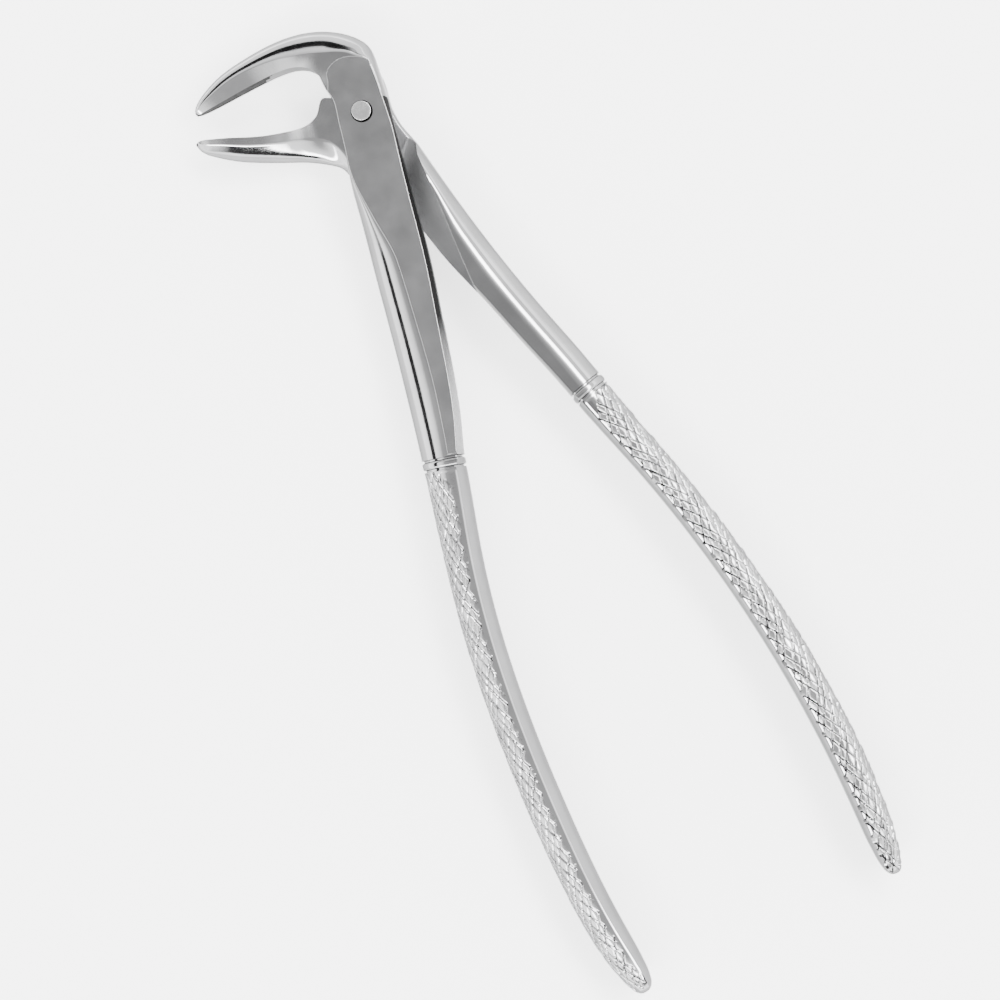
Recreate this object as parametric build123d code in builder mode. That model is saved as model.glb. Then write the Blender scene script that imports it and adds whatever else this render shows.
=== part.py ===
from build123d import *
import os

os.makedirs("parts", exist_ok=True)

# Extraction forceps with a lap joint: two forged halves cross at a hinge pin.
# The forceps lie flat. +Z is the pin's axis and the origin is on it, at the rear face of the joint.
# The open handles run towards -Y, one each side of the Y axis, and both beaks point towards -X.
# The front half is the left handle, the upper leaf of the joint and the beak further along +Y.

# ---- driving dimensions, mm ----
JOINT_THICKNESS = 10.0                      # both leaves together
MID = JOINT_THICKNESS / 2                   # height of the parting plane
PARTING_GAP = 0.05                          # running gap between the two leaves
FRONT_LEAF_Z = MID + PARTING_GAP / 2
BACK_LEAF_Z = MID - PARTING_GAP / 2

PIN_RADIUS = 1.5
PIN_RUNNING_GAP = 0.04                      # radial, in the front leaf
PIN_HEAD_RADIUS = 1.7
PIN_HEAD_DEPTH = 1.0                        # how far the head sinks into the front leaf
PIN_HEAD_GAP = 0.18                         # radial, round the head
PIN_HEAD_LIFT = 0.05                        # running gap under the head
PIN_HEAD_PROUD = 0.35
PIN_HEAD_ROUND = 0.1
PIN_REAR_RECESS = 0.2                       # the pin stops this far inside the rear face

RING_HALF_WIDTH = 0.6                       # the bead between shank and grip
RING_GROOVE = 0.45
RING_GROOVE_DEPTH = 0.4
RING_PROUD = 0.12
RING_CORE_OVERLAP = 0.3                     # how far the grooved core runs into the shank and into the grip

BEAK_HOLLOW = 0.55                          # greatest depth of the scooped gripping face
BEAK_HOLLOW_SHARE = 0.16                    # its depth as a share of the beak's height, near the tip
BEAK_EDGE_DROP = 0.12                       # how fast the convex side falls from its flat
ROUNDING = 0.55                             # fullness of the beaks' convex sides
CUT_MARGIN = 1.0                            # the recess of the back half is cut this far past its front face


def across(inner, outer):
    """Plane that cuts a handle or beak from its inner side (x = 0) to its outer side, with y along +Z."""
    inner_point = Vector(inner[0], inner[1], MID)
    outward = Vector(outer[0] - inner[0], outer[1] - inner[1], 0)
    return Plane(origin=inner_point, x_dir=outward, z_dir=outward.cross(Vector(0, 0, 1)))


def width_of(inner, outer):
    return Vector(outer[0] - inner[0], outer[1] - inner[1], 0).length


def handle_section(plane, width, half_height, front_flat, rear_flat, inner_bulge, grow=0.0):
    """Oval handle section: a bowed inner wall, a flat in front and behind, and a round outer side."""
    high = half_height + grow
    wide = width + grow
    front_edge = inner_bulge + front_flat
    rear_edge = inner_bulge + rear_flat
    with BuildSketch(plane) as section:
        with BuildLine():
            ThreePointArc((inner_bulge, -high), (-grow, 0), (inner_bulge, high))
            Line((inner_bulge, high), (front_edge, high))
            EllipticalCenterArc((front_edge, 0), wide - front_edge, high, start_angle=0, arc_size=90)
            EllipticalCenterArc((rear_edge, 0), wide - rear_edge, high, start_angle=-90, arc_size=90)
            Line((rear_edge, -high), (inner_bulge, -high))
        make_face()
    return section.sketch


def handle_loft(stations):
    """Sections for a loft: inner point, outer point, half height, front flat, rear flat, inner bulge."""
    return [handle_section(across(inner, outer), width_of(inner, outer), half_height, front, rear, bulge)
            for inner, outer, half_height, front, rear, bulge in stations]


def ring_sections(station, start, end, grow):
    """Two equal sections across the handle, start and end being distances from the ring's centre."""
    inner, outer, half_height, front, rear, bulge = station
    width = width_of(inner, outer)
    return [handle_section(across(inner, outer).offset(shift), width, half_height, front, rear, bulge, grow)
            for shift in (start, end)]


def beak_section(inner, outer, rear_z, front_z, waist_z, front_flat, rear_flat, edge_drop):
    """Beak section: a hollow gripping face, a facet or flat beside it and a convex outer side."""
    depth = width_of(inner, outer)
    low = rear_z - MID
    high = front_z - MID
    waist = waist_z - MID
    edge = high - edge_drop
    middle = (low + edge) / 2
    hollow = min(BEAK_HOLLOW, BEAK_HOLLOW_SHARE * (high - low))
    front_reach = front_flat + ROUNDING * (depth - front_flat)
    rear_reach = rear_flat + ROUNDING * (depth - rear_flat)
    front_drop = BEAK_EDGE_DROP * (high - waist)
    rear_drop = BEAK_EDGE_DROP * (waist - low)
    front_shoulder = waist + ROUNDING * (high - waist)
    rear_shoulder = waist - ROUNDING * (waist - low)
    with BuildSketch(across(inner, outer)) as section:
        with BuildLine():
            ThreePointArc((0, low), (hollow, middle), (0, edge))
            Line((0, edge), (front_flat, high))
            Bezier((front_flat, high), (front_reach, high - front_drop),
                   (depth, front_shoulder), (depth, waist))
            Bezier((depth, waist), (depth, rear_shoulder),
                   (rear_reach, low + rear_drop), (rear_flat, low))
            Line((rear_flat, low), (0, low))
        make_face()
    return section.sketch


# ---- handles: inner point, outer point, half height, front flat, rear flat, inner bulge ----
FRONT_SHANK = [
    ((3.75, -4.9), (-5.5, -3.2), 5.0, 8.9, 8.8, 0.1),
    ((2.55, -11.1), (-7.2, -9.0), 5.0, 8.95, 8.3, 0.3),
    ((1.0, -19.0), (-8.9, -16.9), 5.0, 7.1, 6.2, 0.45),
    ((-0.7, -27.6), (-10.7, -25.6), 5.0, 4.9, 5.0, 0.55),
    ((-3.5, -38.4), (-12.8, -36.1), 5.0, 3.8, 3.6, 0.6),
    ((-6.3, -48.7), (-15.0, -46.5), 5.0, 2.9, 2.8, 0.6),
    ((-8.7, -56.1), (-16.7, -54.1), 5.0, 2.3, 2.3, 0.65),
    ((-10.6, -61.2), (-17.9, -59.2), 5.0, 1.7, 1.7, 0.8),
]
FRONT_RING = ((-10.9, -62.2), (-18.15, -60.2), 4.88, 1.5, 1.5, 1.0)
FRONT_GRIP = [
    ((-11.15, -63.2), (-18.4, -61.2), 4.9, 1.3, 1.3, 1.4),
    ((-15.0, -76.6), (-21.7, -74.8), 4.9, 1.3, 1.3, 1.5),
    ((-18.0, -89.5), (-24.6, -88.2), 4.9, 1.3, 1.3, 1.5),
    ((-19.9, -101.9), (-26.5, -101.0), 4.9, 1.3, 1.3, 1.5),
    ((-21.1, -114.6), (-27.8, -114.0), 4.9, 1.3, 1.3, 1.5),
    ((-21.75, -127.2), (-28.5, -127.0), 4.9, 1.3, 1.3, 1.5),
    ((-21.95, -138.8), (-28.6, -139.0), 4.9, 1.2, 1.2, 1.5),
    ((-21.7, -146.8), (-28.1, -147.4), 4.8, 1.1, 1.1, 1.4),
    ((-21.35, -152.3), (-27.2, -153.2), 4.4, 1.0, 1.0, 1.2),
    ((-21.35, -156.3), (-26.0, -157.0), 3.6, 0.7, 0.7, 0.9),
    ((-21.95, -159.0), (-24.7, -159.4), 2.2, 0.4, 0.4, 0.5),
]
BACK_SHANK = [
    ((-4.4, -4.2), (4.9, -2.4), 5.0, 8.2, 8.5, 0.3),
    ((-3.0, -11.6), (6.4, -9.6), 5.0, 7.6, 8.5, 0.35),
    ((-1.2, -19.2), (7.5, -17.2), 5.0, 5.6, 6.4, 0.45),
    ((1.3, -28.0), (9.0, -26.2), 5.0, 3.4, 3.9, 0.5),
    ((4.0, -37.1), (10.9, -35.4), 5.0, 2.1, 2.9, 0.55),
    ((6.9, -47.4), (13.4, -45.6), 5.0, 1.8, 2.5, 0.55),
    ((9.05, -54.8), (15.4, -53.0), 5.0, 1.6, 2.1, 0.6),
    ((10.6, -60.6), (16.85, -58.9), 5.0, 1.4, 1.6, 0.7),
]
BACK_RING = ((10.85, -61.6), (17.1, -59.9), 4.88, 1.3, 1.3, 0.8)
BACK_GRIP = [
    ((11.1, -62.6), (17.35, -60.9), 4.9, 1.1, 1.1, 0.9),
    ((14.9, -76.2), (20.9, -74.7), 4.9, 1.0, 1.0, 0.9),
    ((18.05, -89.4), (24.1, -88.2), 4.9, 1.0, 1.0, 0.9),
    ((20.3, -102.0), (26.4, -101.2), 4.9, 1.0, 1.0, 0.9),
    ((21.85, -114.6), (28.15, -114.0), 4.9, 1.0, 1.0, 0.9),
    ((22.7, -127.2), (29.05, -127.0), 4.9, 1.0, 1.0, 0.9),
    ((22.9, -138.8), (29.1, -139.0), 4.9, 1.0, 1.0, 0.9),
    ((22.7, -146.8), (28.6, -147.4), 4.8, 0.9, 0.9, 0.9),
    ((22.5, -152.6), (27.85, -153.5), 4.4, 0.8, 0.8, 0.8),
    ((22.7, -156.6), (26.8, -157.2), 3.6, 0.6, 0.6, 0.7),
    ((23.3, -159.1), (25.75, -159.5), 2.2, 0.3, 0.3, 0.4),
]

# ---- rounded side of the front leaf, same columns; it runs out into the plain wall of the shank ----
FRONT_LEAF_SIDE = [
    ((-2.8, 6.8), (6.0, 7.4), 5.0, 7.85, 7.85, 0.1),
    ((-3.2, 3.6), (5.55, 4.2), 5.0, 8.0, 8.0, 0.1),
    ((-3.9, 0.2), (5.0, 0.7), 5.0, 8.2, 8.2, 0.1),
    ((-4.5, -2.7), (4.4, -2.1), 5.0, 8.4, 8.4, 0.1),
    ((-5.1, -5.5), (3.7, -4.9), 5.0, 8.6, 8.6, 0.1),
]

# ---- beaks, from tip to root ----
# inner point, outer point, rear z, front z, waist z, front flat, rear flat, edge drop
FRONT_BEAK = [
    ((-26.7, 13.25), (-26.9, 14.15), 4.3, 5.7, 5.0, 0.25, 0.25, 0.15),
    ((-25.8, 13.2), (-25.95, 15.05), 3.8, 6.2, 5.0, 0.8, 0.5, 0.3),
    ((-23.7, 13.2), (-23.9, 16.3), 3.3, 6.7, 5.0, 1.6, 0.9, 0.45),
    ((-20.3, 13.3), (-20.5, 17.6), 3.0, 7.1, 5.0, 2.3, 1.2, 0.55),
    ((-15.6, 13.4), (-15.6, 18.4), 2.9, 7.5, 5.0, 2.6, 1.5, 0.6),
    ((-10.6, 13.2), (-9.8, 18.65), 3.4, 8.2, 5.2, 2.2, 1.9, 0.55),
    ((-6.9, 12.3), (-3.6, 17.75), 4.3, 8.9, 5.4, 2.0, 2.6, 0.4),
    ((-4.8, 10.7), (2.0, 15.1), FRONT_LEAF_Z, 9.3, 5.5, 3.4, 4.0, 0.2),
    ((-3.95, 8.5), (5.9, 10.6), FRONT_LEAF_Z, 9.5, 5.5, 6.9, 7.0, 0.1),
    ((-4.05, 6.3), (6.0, 7.4), FRONT_LEAF_Z, 9.6, 5.5, 8.9, 8.5, 0.1),
]
BACK_BEAK = [
    ((-29.0, 8.9), (-29.15, 8.0), 4.3, 5.7, 5.0, 0.25, 0.25, 0.0),
    ((-28.2, 8.9), (-28.6, 7.0), 3.8, 6.2, 5.0, 0.5, 0.5, 0.0),
    ((-26.4, 8.3), (-27.4, 5.7), 3.3, 6.7, 4.6, 0.9, 0.9, 0.0),
    ((-23.0, 6.85), (-24.4, 3.4), 3.0, 7.0, 3.9, 1.2, 1.2, 0.0),
    ((-18.4, 4.8), (-20.0, 0.85), 2.7, 6.9, 3.5, 1.4, 1.5, 0.0),
    ((-14.0, 3.5), (-15.5, -1.3), 2.1, 6.2, 2.9, 1.6, 1.9, 0.0),
    ((-10.4, 3.0), (-11.6, -3.3), 1.4, 5.3, 2.4, 2.2, 2.5, 0.0),
    ((-8.3, 3.5), (-8.9, -5.3), 1.0, BACK_LEAF_Z, 2.9, 3.9, 3.9, 0.0),
    ((-6.9, 4.9), (-7.5, -7.0), 0.8, BACK_LEAF_Z, 2.8, 6.5, 7.2, 0.0),
    ((-5.7, 6.0), (-6.5, -8.7), 0.8, BACK_LEAF_Z, 2.8, 9.2, 10.4, 0.0),
]

# ---- front half ----
with BuildPart() as front_half:
    # rounded leaf of the joint
    with BuildSketch(Plane.XY.offset(FRONT_LEAF_Z)):
        with BuildLine():
            Spline((-5.5, -5.0), (-4.34, 0.4), (-3.36, 5.36), (-2.8, 8.3))
            ThreePointArc((-2.8, 8.3), (0.5, 9.93), (5.2, 7.4))
            Spline((5.2, 7.4), (4.4, 0.4), (3.55, -5.1))
            Line((3.55, -5.1), (-5.5, -5.0))
        make_face()
    extrude(amount=JOINT_THICKNESS - FRONT_LEAF_Z)
    loft(sections=handle_loft(FRONT_LEAF_SIDE))
    loft(sections=handle_loft(FRONT_SHANK))
    loft(sections=[beak_section(*station) for station in FRONT_BEAK])
    # clear the lower layer for the back half's leaf, up to the shoulder wall
    with BuildSketch():
        with BuildLine():
            Polyline((8, -40), (8, 9.4), (-11, 9.4), (-11, -12.6), (-5.6, -16), (-5.2, -22.5),
                     (-4.4, -36), (-3.2, -40), (8, -40))
        make_face()
    extrude(amount=FRONT_LEAF_Z, mode=Mode.SUBTRACT)
    # ring between two grooves, then the grip
    reach = RING_HALF_WIDTH + RING_GROOVE + RING_CORE_OVERLAP
    loft(sections=ring_sections(FRONT_RING, -reach, reach, -RING_GROOVE_DEPTH))
    loft(sections=ring_sections(FRONT_RING, -RING_HALF_WIDTH, RING_HALF_WIDTH, RING_PROUD))
    loft(sections=handle_loft(FRONT_GRIP))
    # running hole for the pin and the seat of its head
    with Locations((0, 0, JOINT_THICKNESS)):
        CounterBoreHole(PIN_RADIUS + PIN_RUNNING_GAP, PIN_HEAD_RADIUS + PIN_HEAD_GAP, PIN_HEAD_DEPTH)
front_half.part.label = "front_half"
export_step(front_half.part, "parts/front_half.step")

# ---- back half ----
with BuildPart() as back_half:
    # leaf of the joint, wider than the front one on the beak's side
    with BuildSketch():
        with BuildLine():
            Polyline((-6.0, 3.9), (-5.8, 6.1), (-4.0, 5.4), (-3.2, 6.6))
            ThreePointArc((-3.2, 6.6), (0.8, 8.6), (5.4, 6.2))
            Spline((5.4, 6.2), (5.0, 1.0), (4.8, -2.8), (5.9, -7.8), (6.3, -9.4))
            Line((6.3, -9.4), (0.4, -21.4))
            Spline((0.4, -21.4), (-2.6, -15.6), (-6.6, -10.2), (-7.0, -8.0))
            Line((-7.0, -8.0), (-6.0, 3.9))
        make_face()
    extrude(amount=BACK_LEAF_Z)
    loft(sections=handle_loft(BACK_SHANK))
    loft(sections=[beak_section(*station) for station in BACK_BEAK])
    # clear the upper layer for the front half's leaf, up to the shoulder wall
    with BuildSketch(Plane.XY.offset(BACK_LEAF_Z)):
        with BuildLine():
            Polyline((-8.6, -40), (-8.6, 9.4), (9, 9.4), (9, -6.4), (5.9, -8.2), (5.4, -11), (5.25, -16.2),
                     (5.05, -21.8), (4.55, -28.8), (4.2, -36.4), (3.2, -40), (-8.6, -40))
        make_face()
    extrude(amount=JOINT_THICKNESS - BACK_LEAF_Z + CUT_MARGIN, mode=Mode.SUBTRACT)
    # ring between two grooves, then the grip
    loft(sections=ring_sections(BACK_RING, -reach, reach, -RING_GROOVE_DEPTH))
    loft(sections=ring_sections(BACK_RING, -RING_HALF_WIDTH, RING_HALF_WIDTH, RING_PROUD))
    loft(sections=handle_loft(BACK_GRIP))
    # the pin is pressed and riveted into this hole
    Hole(PIN_RADIUS)
back_half.part.label = "back_half"
export_step(back_half.part, "parts/back_half.step")

# ---- hinge pin ----
head_z = JOINT_THICKNESS - PIN_HEAD_DEPTH + PIN_HEAD_LIFT
with BuildPart() as hinge_pin:
    with BuildSketch(Plane.XY.offset(PIN_REAR_RECESS)):
        Circle(PIN_RADIUS)
    extrude(amount=head_z - PIN_REAR_RECESS)
    with BuildSketch(Plane.XY.offset(head_z)):
        Circle(PIN_HEAD_RADIUS)
    extrude(amount=JOINT_THICKNESS + PIN_HEAD_PROUD - head_z)
    fillet(hinge_pin.edges().group_by(Axis.Z)[-1], PIN_HEAD_ROUND)
hinge_pin.part.label = "hinge_pin"
export_step(hinge_pin.part, "parts/hinge_pin.step")
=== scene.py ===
import math

import bmesh
import bpy
import numpy as np
from mathutils import Matrix, Vector


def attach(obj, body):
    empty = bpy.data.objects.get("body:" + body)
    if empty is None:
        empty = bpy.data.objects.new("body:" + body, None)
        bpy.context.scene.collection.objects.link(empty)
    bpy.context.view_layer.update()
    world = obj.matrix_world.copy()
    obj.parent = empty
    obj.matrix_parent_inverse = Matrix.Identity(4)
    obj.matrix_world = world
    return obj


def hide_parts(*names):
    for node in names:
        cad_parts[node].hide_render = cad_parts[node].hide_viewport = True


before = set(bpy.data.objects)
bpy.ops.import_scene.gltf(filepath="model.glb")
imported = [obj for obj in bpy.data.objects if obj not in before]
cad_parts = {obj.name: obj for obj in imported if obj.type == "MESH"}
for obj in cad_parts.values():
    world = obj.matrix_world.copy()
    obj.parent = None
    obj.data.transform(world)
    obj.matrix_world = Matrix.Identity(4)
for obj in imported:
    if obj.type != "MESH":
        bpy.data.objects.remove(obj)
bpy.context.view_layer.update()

MM = 0.001
MID = 5.0                                      # height of the parting plane, mm
PARTING_GAP = 0.025
PAD_DROP = 0.12                                # the forging lies this far under the front leaf's ground face

# ---- sections of the two halves, mm ----
# handles: inner point, outer point, half height, front flat, rear flat, inner bulge
FRONT_SHANK = [
    ((2.55, -11.1), (-7.2, -9.0), 5.0, 8.95, 8.3, 0.3),
    ((1.0, -19.0), (-8.9, -16.9), 5.0, 7.1, 6.2, 0.45),
    ((-0.7, -27.6), (-10.7, -25.6), 5.0, 4.9, 5.0, 0.55),
    ((-3.5, -38.4), (-12.8, -36.1), 5.0, 3.8, 3.6, 0.6),
    ((-6.3, -48.7), (-15.0, -46.5), 5.0, 2.9, 2.8, 0.6),
    ((-8.7, -56.1), (-16.7, -54.1), 5.0, 2.3, 2.3, 0.65),
    ((-10.6, -61.2), (-17.9, -59.2), 5.0, 1.7, 1.7, 0.8),
]
FRONT_RING = ((-10.9, -62.2), (-18.15, -60.2), 4.88, 1.5, 1.5, 1.0)
FRONT_GRIP = [
    ((-11.15, -63.2), (-18.4, -61.2), 4.9, 1.3, 1.3, 1.4),
    ((-15.0, -76.6), (-21.7, -74.8), 4.9, 1.3, 1.3, 1.5),
    ((-18.0, -89.5), (-24.6, -88.2), 4.9, 1.3, 1.3, 1.5),
    ((-19.9, -101.9), (-26.5, -101.0), 4.9, 1.3, 1.3, 1.5),
    ((-21.1, -114.6), (-27.8, -114.0), 4.9, 1.3, 1.3, 1.5),
    ((-21.75, -127.2), (-28.5, -127.0), 4.9, 1.3, 1.3, 1.5),
    ((-21.95, -138.8), (-28.6, -139.0), 4.9, 1.2, 1.2, 1.5),
    ((-21.7, -146.8), (-28.1, -147.4), 4.8, 1.1, 1.1, 1.4),
    ((-21.35, -152.3), (-27.2, -153.2), 4.4, 1.0, 1.0, 1.2),
    ((-21.35, -156.3), (-26.0, -157.0), 3.6, 0.7, 0.7, 0.9),
    ((-21.95, -159.0), (-24.7, -159.4), 2.2, 0.4, 0.4, 0.5),
]
BACK_SHANK = [
    ((1.3, -28.0), (9.0, -26.2), 5.0, 3.4, 3.9, 0.5),
    ((4.0, -37.1), (10.9, -35.4), 5.0, 2.1, 2.9, 0.55),
    ((6.9, -47.4), (13.4, -45.6), 5.0, 1.8, 2.5, 0.55),
    ((9.05, -54.8), (15.4, -53.0), 5.0, 1.6, 2.1, 0.6),
    ((10.6, -60.6), (16.85, -58.9), 5.0, 1.4, 1.6, 0.7),
]
BACK_RING = ((10.85, -61.6), (17.1, -59.9), 4.88, 1.3, 1.3, 0.8)
BACK_GRIP = [
    ((11.1, -62.6), (17.35, -60.9), 4.9, 1.1, 1.1, 0.9),
    ((14.9, -76.2), (20.9, -74.7), 4.9, 1.0, 1.0, 0.9),
    ((18.05, -89.4), (24.1, -88.2), 4.9, 1.0, 1.0, 0.9),
    ((20.3, -102.0), (26.4, -101.2), 4.9, 1.0, 1.0, 0.9),
    ((21.85, -114.6), (28.15, -114.0), 4.9, 1.0, 1.0, 0.9),
    ((22.7, -127.2), (29.05, -127.0), 4.9, 1.0, 1.0, 0.9),
    ((22.9, -138.8), (29.1, -139.0), 4.9, 1.0, 1.0, 0.9),
    ((22.7, -146.8), (28.6, -147.4), 4.8, 0.9, 0.9, 0.9),
    ((22.5, -152.6), (27.85, -153.5), 4.4, 0.8, 0.8, 0.8),
    ((22.7, -156.6), (26.8, -157.2), 3.6, 0.6, 0.6, 0.7),
    ((23.3, -159.1), (25.75, -159.5), 2.2, 0.3, 0.3, 0.4),
]
# beaks, from tip to root: inner point, outer point, rear z, front z, waist z,
# front flat, rear flat, edge drop
FRONT_BEAK = [
    ((-26.7, 13.25), (-26.9, 14.15), 4.3, 5.7, 5.0, 0.25, 0.25, 0.15),
    ((-25.8, 13.2), (-25.95, 15.05), 3.8, 6.2, 5.0, 0.8, 0.5, 0.3),
    ((-23.7, 13.2), (-23.9, 16.3), 3.3, 6.7, 5.0, 1.6, 0.9, 0.45),
    ((-20.3, 13.3), (-20.5, 17.6), 3.0, 7.1, 5.0, 2.3, 1.2, 0.55),
    ((-15.6, 13.4), (-15.6, 18.4), 2.9, 7.5, 5.0, 2.6, 1.5, 0.6),
    ((-10.6, 13.2), (-9.8, 18.63), 3.4, 8.2, 5.2, 2.2, 1.9, 0.55),
    ((-6.9, 12.3), (-3.6, 17.75), 4.3, 8.9, 5.4, 2.0, 2.6, 0.4),
    ((-4.8, 10.7), (2.0, 15.1), 5.03, 9.3, 5.5, 3.4, 4.0, 0.2),
    ((-3.95, 8.5), (5.9, 10.6), 5.03, 9.5, 5.5, 6.9, 7.0, 0.1),
]
BACK_BEAK = [
    ((-29.0, 8.9), (-29.15, 8.0), 4.3, 5.7, 5.0, 0.25, 0.25, 0.0),
    ((-28.2, 8.9), (-28.6, 7.0), 3.8, 6.2, 5.0, 0.5, 0.5, 0.0),
    ((-26.4, 8.3), (-27.4, 5.7), 3.3, 6.7, 4.6, 0.9, 0.9, 0.0),
    ((-23.0, 6.85), (-24.4, 3.4), 3.0, 7.0, 3.9, 1.2, 1.2, 0.0),
    ((-18.4, 4.8), (-20.0, 0.85), 2.7, 6.9, 3.5, 1.4, 1.5, 0.0),
    ((-14.0, 3.5), (-15.5, -1.3), 2.1, 6.2, 2.9, 1.6, 1.9, 0.0),
    ((-10.4, 3.0), (-11.6, -3.3), 1.4, 5.3, 2.4, 2.2, 2.5, 0.0),
    ((-8.3, 3.5), (-8.9, -5.3), 1.0, 4.97, 2.9, 3.9, 3.9, 0.0),
]
BEAK_HOLLOW = 0.55                             # deepest hollow of the gripping faces
BEAK_HOLLOW_SHARE = 0.16                       # and never more than this share of the beak's height
BEAK_EDGE_DROP = 0.12
BACK_BEAK_DROP = 0.3
QUARTER = 0.5523                               # handle length that makes a cubic a quarter of a circle

# A general station is two edge points, the heights of the rear, the front and the waist, then for each side:
# inset of the front flat's end, of the rear flat's end and of the waist, whether the side is a wall (1) or
# rounded (0), how fast it falls from the flat, and how far the front flat's end lies below the front height.


def station(left, right, low, high, waist, left_side, right_side):
    return np.array([*left, *right, low, high, waist, *left_side, *right_side], dtype=float)


def length(a, b):
    return math.hypot(a[0] - b[0], a[1] - b[1])


def handle_station(row, inner_is_right, sink=0.0):
    inner, outer, half, front, rear, bulge = row
    width = length(inner, outer)
    wall = (bulge, bulge, 0.0, 1.0, 0.0, 0.0)
    round_side = (width - bulge - front, width - bulge - rear, 0.0, 0.0, 0.0, 0.0)
    if inner_is_right:
        return station(outer, inner, MID - half, MID + half - sink, MID, round_side, wall)
    return station(inner, outer, MID - half, MID + half - sink, MID, wall, round_side)


def beak_station(row, inner_is_right, fall=BEAK_EDGE_DROP):
    inner, outer, low, high, waist, front, rear, drop = row
    width = length(inner, outer)
    hollow = min(BEAK_HOLLOW, BEAK_HOLLOW_SHARE * (high - low))
    face = (0.0, 0.0, hollow, 1.0, 0.0, drop)
    back = (width - front, width - rear, 0.0, 0.0, fall, 0.0)
    if inner_is_right:
        return station(outer, inner, low, high, waist, back, face)
    return station(inner, outer, low, high, waist, face, back)


def natural_spline(knots, values, at):
    """Natural cubic spline through the rows of values, which are given at knots."""
    n = len(knots)
    h = np.diff(knots)
    matrix = np.eye(n)
    right = np.zeros_like(values)
    for i in range(1, n - 1):
        matrix[i, i - 1] = h[i - 1]
        matrix[i, i] = 2 * (h[i - 1] + h[i])
        matrix[i, i + 1] = h[i]
        right[i] = 6 * ((values[i + 1] - values[i]) / h[i] - (values[i] - values[i - 1]) / h[i - 1])
    second = np.linalg.solve(matrix, right)
    k = np.clip(np.searchsorted(knots, at, side="right") - 1, 0, n - 2)
    step = h[k][:, None]
    a = (knots[k + 1] - at)[:, None]
    b = (at - knots[k])[:, None]
    return (second[k] * a ** 3 / (6 * step) + second[k + 1] * b ** 3 / (6 * step)
            + (values[k] / step - second[k] * step / 6) * a
            + (values[k + 1] / step - second[k + 1] * step / 6) * b)


def monotone(knots, values, at):
    """Cubic through the rows of values that never swings past them (for heights and insets)."""
    h = np.diff(knots)[:, None]
    slope = np.diff(values, axis=0) / h
    tangent = np.zeros_like(values)
    same = slope[:-1] * slope[1:] > 0
    total = 2 * slope[:-1] * slope[1:]
    tangent[1:-1] = np.where(same, total / np.where(same, slope[:-1] + slope[1:], 1.0), 0.0)
    tangent[0] = slope[0]
    tangent[-1] = slope[-1]
    k = np.clip(np.searchsorted(knots, at, side="right") - 1, 0, len(knots) - 2)
    t = ((at - knots[k]) / h[k, 0])[:, None]
    step = h[k]
    return (values[k] * (2 * t ** 3 - 3 * t ** 2 + 1) + tangent[k] * step * (t ** 3 - 2 * t ** 2 + t)
            + values[k + 1] * (3 * t ** 2 - 2 * t ** 3) + tangent[k + 1] * step * (t ** 3 - t ** 2))


def along(stations):
    middles = np.array([[(s[0] + s[2]) / 2, (s[1] + s[3]) / 2] for s in stations])
    return np.concatenate([[0.0], np.cumsum(np.hypot(*np.diff(middles, axis=0).T))])


def interpolate(stations, at):
    """The stations' columns at the given distances along the path."""
    knots = along(stations)
    values = np.array(stations)
    plan = natural_spline(knots, values[:, :4], at)
    rest = monotone(knots, values[:, 4:], at)
    return np.concatenate([plan, rest], axis=1)


def smooth(rows, at, width):
    """Evens out the rows over about `width` mm along the path, leaving the ends alone."""
    out = rows.copy()
    for i, here in enumerate(at):
        reach = min(width, here - at[0], at[-1] - here)
        if reach < 1e-6:
            continue
        near = np.abs(at - here) <= reach
        spacing = np.gradient(at)[near]
        weight = (1 - ((at[near] - here) / reach) ** 2) * spacing
        out[i] = (rows[near] * weight[:, None]).sum(axis=0) / weight.sum()
    return out


def quarter(x_top, z_top, x_mid, z_mid, wall, drop, t):
    """A quarter of a side, from a flat's edge to the side's middle, as a cubic curve."""
    high = z_top - z_mid
    first = QUARTER + (2 / 3 - QUARTER) * wall
    fall = drop + (1 / 3 - drop) * wall
    rise = QUARTER + (1 / 3 - QUARTER) * wall
    xs = (x_top, x_top + first * (x_mid - x_top), x_mid, x_mid)
    zs = (z_top, z_top - fall * high, z_mid + rise * high, z_mid)
    weights = ((1 - t) ** 3, 3 * t * (1 - t) ** 2, 3 * t * t * (1 - t), t ** 3)
    x = sum(w * v for w, v in zip(weights, xs))
    z = sum(w * v for w, v in zip(weights, zs))
    return x, z


def section(row, counts):
    """Points (x, z) of one section, clockwise from the front flat's left end."""
    lx, ly, rx, ry, low, high, waist, lt, lb, lm, lw, ld, le, rt, rb, rm, rw, rd, re = row
    width = math.hypot(rx - lx, ry - ly)
    n_top, n_right, n_bottom, n_left = counts
    flat = np.linspace(0, 1, n_top + 1)[:-1]
    xs = [lt + (width - rt - lt) * flat]
    zs = [high - le + (le - re) * flat]
    t = np.linspace(0, 1, n_right + 1)[:-1]
    for_wall = (low + high - re) / 2
    middle = waist + (for_wall - waist) * rw
    x, z = quarter(width - rt, high - re, width - rm, middle, rw, rd, t)
    xs.append(x)
    zs.append(z)
    x, z = quarter(width - rb, low, width - rm, middle, rw, rd, 1 - t)
    xs.append(x)
    zs.append(z)
    flat = np.linspace(0, 1, n_bottom + 1)[:-1]
    xs.append(width - rb + (lb - width + rb) * flat)
    zs.append(np.full(n_bottom, low))
    t = np.linspace(0, 1, n_left + 1)[:-1]
    for_wall = (low + high - le) / 2
    middle = waist + (for_wall - waist) * lw
    x, z = quarter(lb, low, lm, middle, lw, ld, t)
    xs.append(x)
    zs.append(z)
    x, z = quarter(lt, high - le, lm, middle, lw, ld, 1 - t)
    xs.append(x)
    zs.append(z)
    return np.concatenate(xs), np.concatenate(zs)


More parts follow.
